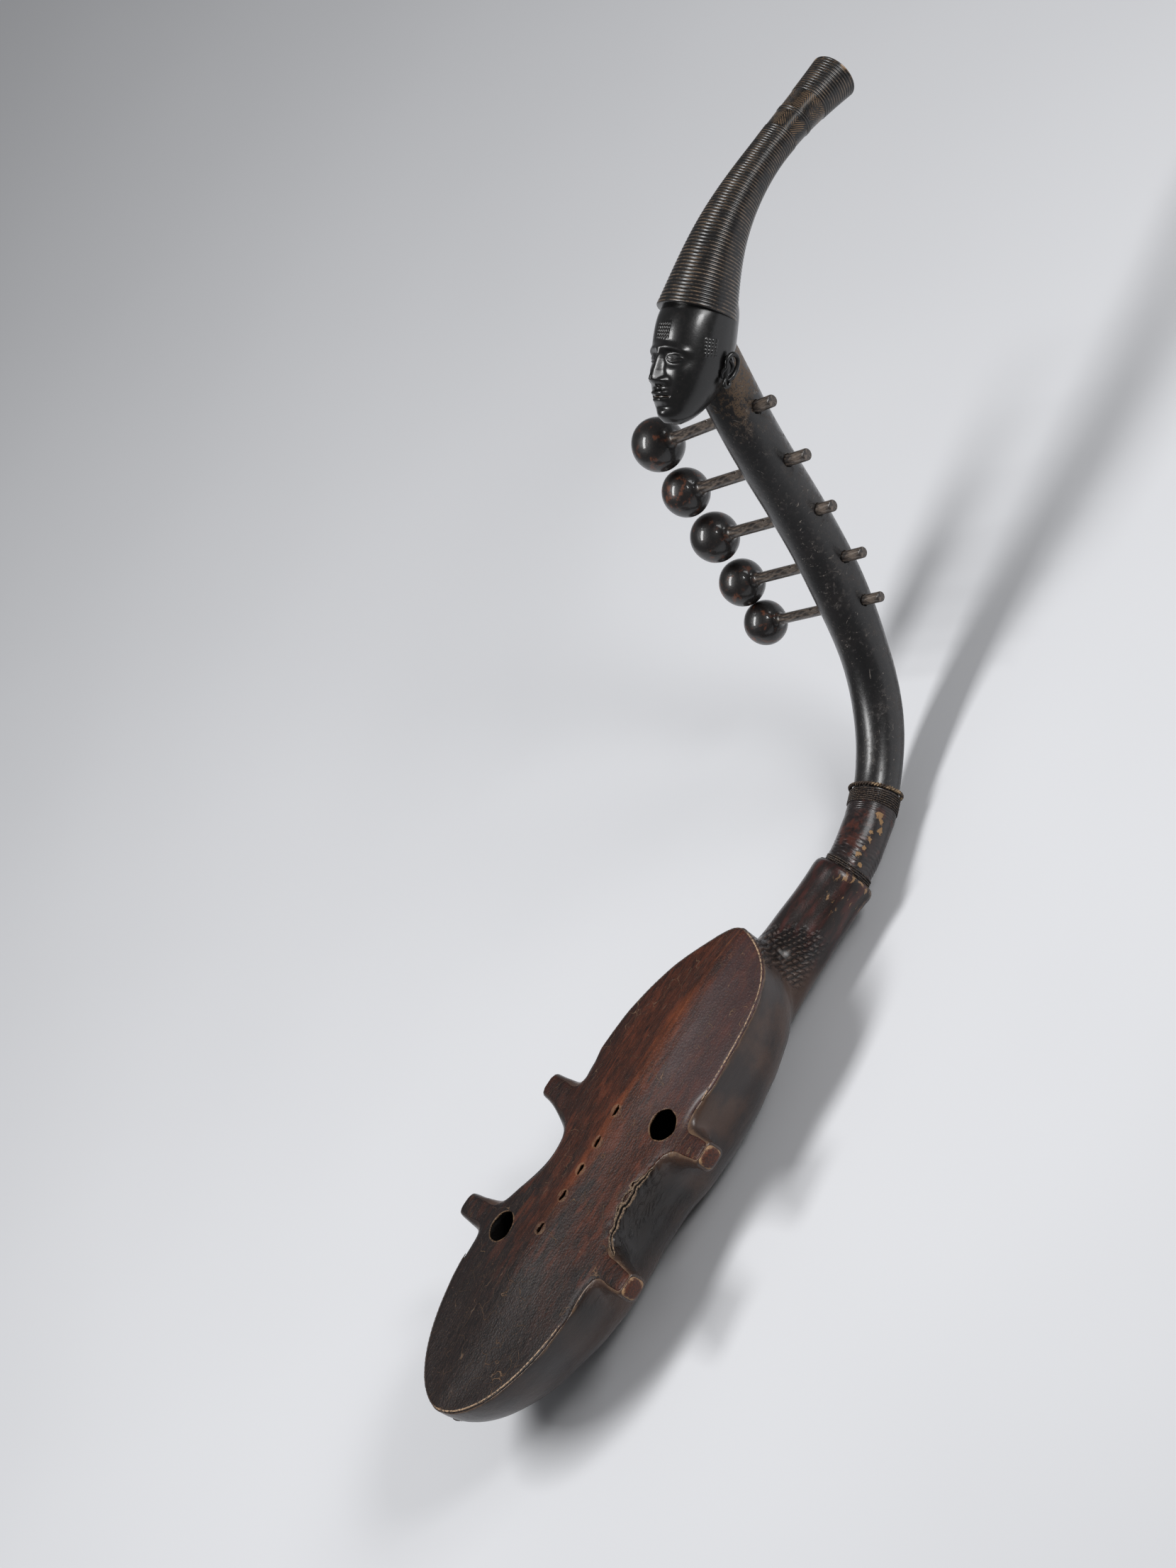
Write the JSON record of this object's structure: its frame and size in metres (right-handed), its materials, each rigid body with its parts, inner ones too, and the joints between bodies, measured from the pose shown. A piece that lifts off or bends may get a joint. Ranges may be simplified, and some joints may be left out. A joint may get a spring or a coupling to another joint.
{
  "type": "arched harp",
  "caption": "Arched harp: waisted wooden body covered with hide, curved neck with lateral ball-knobbed tuning pegs, ending in a carved head with a long ringed coiffure.",
  "frame": {"origin": "lowest point of the back lacing, under the deepest part of the bowl", "axes": "+X along the body from its tail towards the neck, +Z out of the belly, +Y towards the side of the peg knobs"},
  "size_m": [0.768, 0.2459, 0.287],
  "materials": {
    "bowl_wood": "oiled, worn bare at the ends of the lugs",
    "bar_wood": "raw",
    "belly_hide": "polished by handling, semi-gloss",
    "body_hide": "polished by handling, semi-gloss",
    "seam_hide": "worn",
    "neck_wood": "blackened and polished, satin",
    "collar_hide": "polished by handling, semi-gloss",
    "cord": "twisted fibre, darkened",
    "thread": "twisted fibre, darkened",
    "peg_wood": "polished by handling, gloss"
  },
  "bodies": {
    "harp": {"resonator_bowl": "bowl_wood", "string_bar": "bar_wood", "belly_hide": "belly_hide", "body_hide": "body_hide", "rim_welt": "seam_hide", "back_lacing": "seam_hide", "neck": "neck_wood", "collar_hide": "collar_hide", "collar_cord": "cord", "upper_thread": "thread", "lower_thread": "thread"},
    "peg_1": {"peg_1": "peg_wood"},
    "peg_2": {"peg_2": "peg_wood"},
    "peg_3": {"peg_3": "peg_wood"},
    "peg_4": {"peg_4": "peg_wood"},
    "peg_5": {"peg_5": "peg_wood"}
  },
  "joints": [
    {"name": "peg_1_turn", "type": "hinge", "parent": "harp", "child": "peg_1", "pos_m": [0.36826, 0.08118, 0.2083], "axis": [-0.4007, 0.8999, -0.1719], "continuous": true},
    {"name": "peg_2_turn", "type": "hinge", "parent": "harp", "child": "peg_2", "pos_m": [0.35499, 0.07527, 0.1747], "axis": [-0.4033, 0.9059, -0.1288], "continuous": true},
    {"name": "peg_3_turn", "type": "hinge", "parent": "harp", "child": "peg_3", "pos_m": [0.34309, 0.06998, 0.1421], "axis": [-0.4047, 0.909, -0.0993], "continuous": true},
    {"name": "peg_4_turn", "type": "hinge", "parent": "harp", "child": "peg_4", "pos_m": [0.33056, 0.0644, 0.1121], "axis": [-0.4049, 0.9093, -0.0958], "continuous": true},
    {"name": "peg_5_turn", "type": "hinge", "parent": "harp", "child": "peg_5", "pos_m": [0.31746, 0.05856, 0.0874], "axis": [-0.4054, 0.9105, -0.0819], "continuous": true}
  ]
}
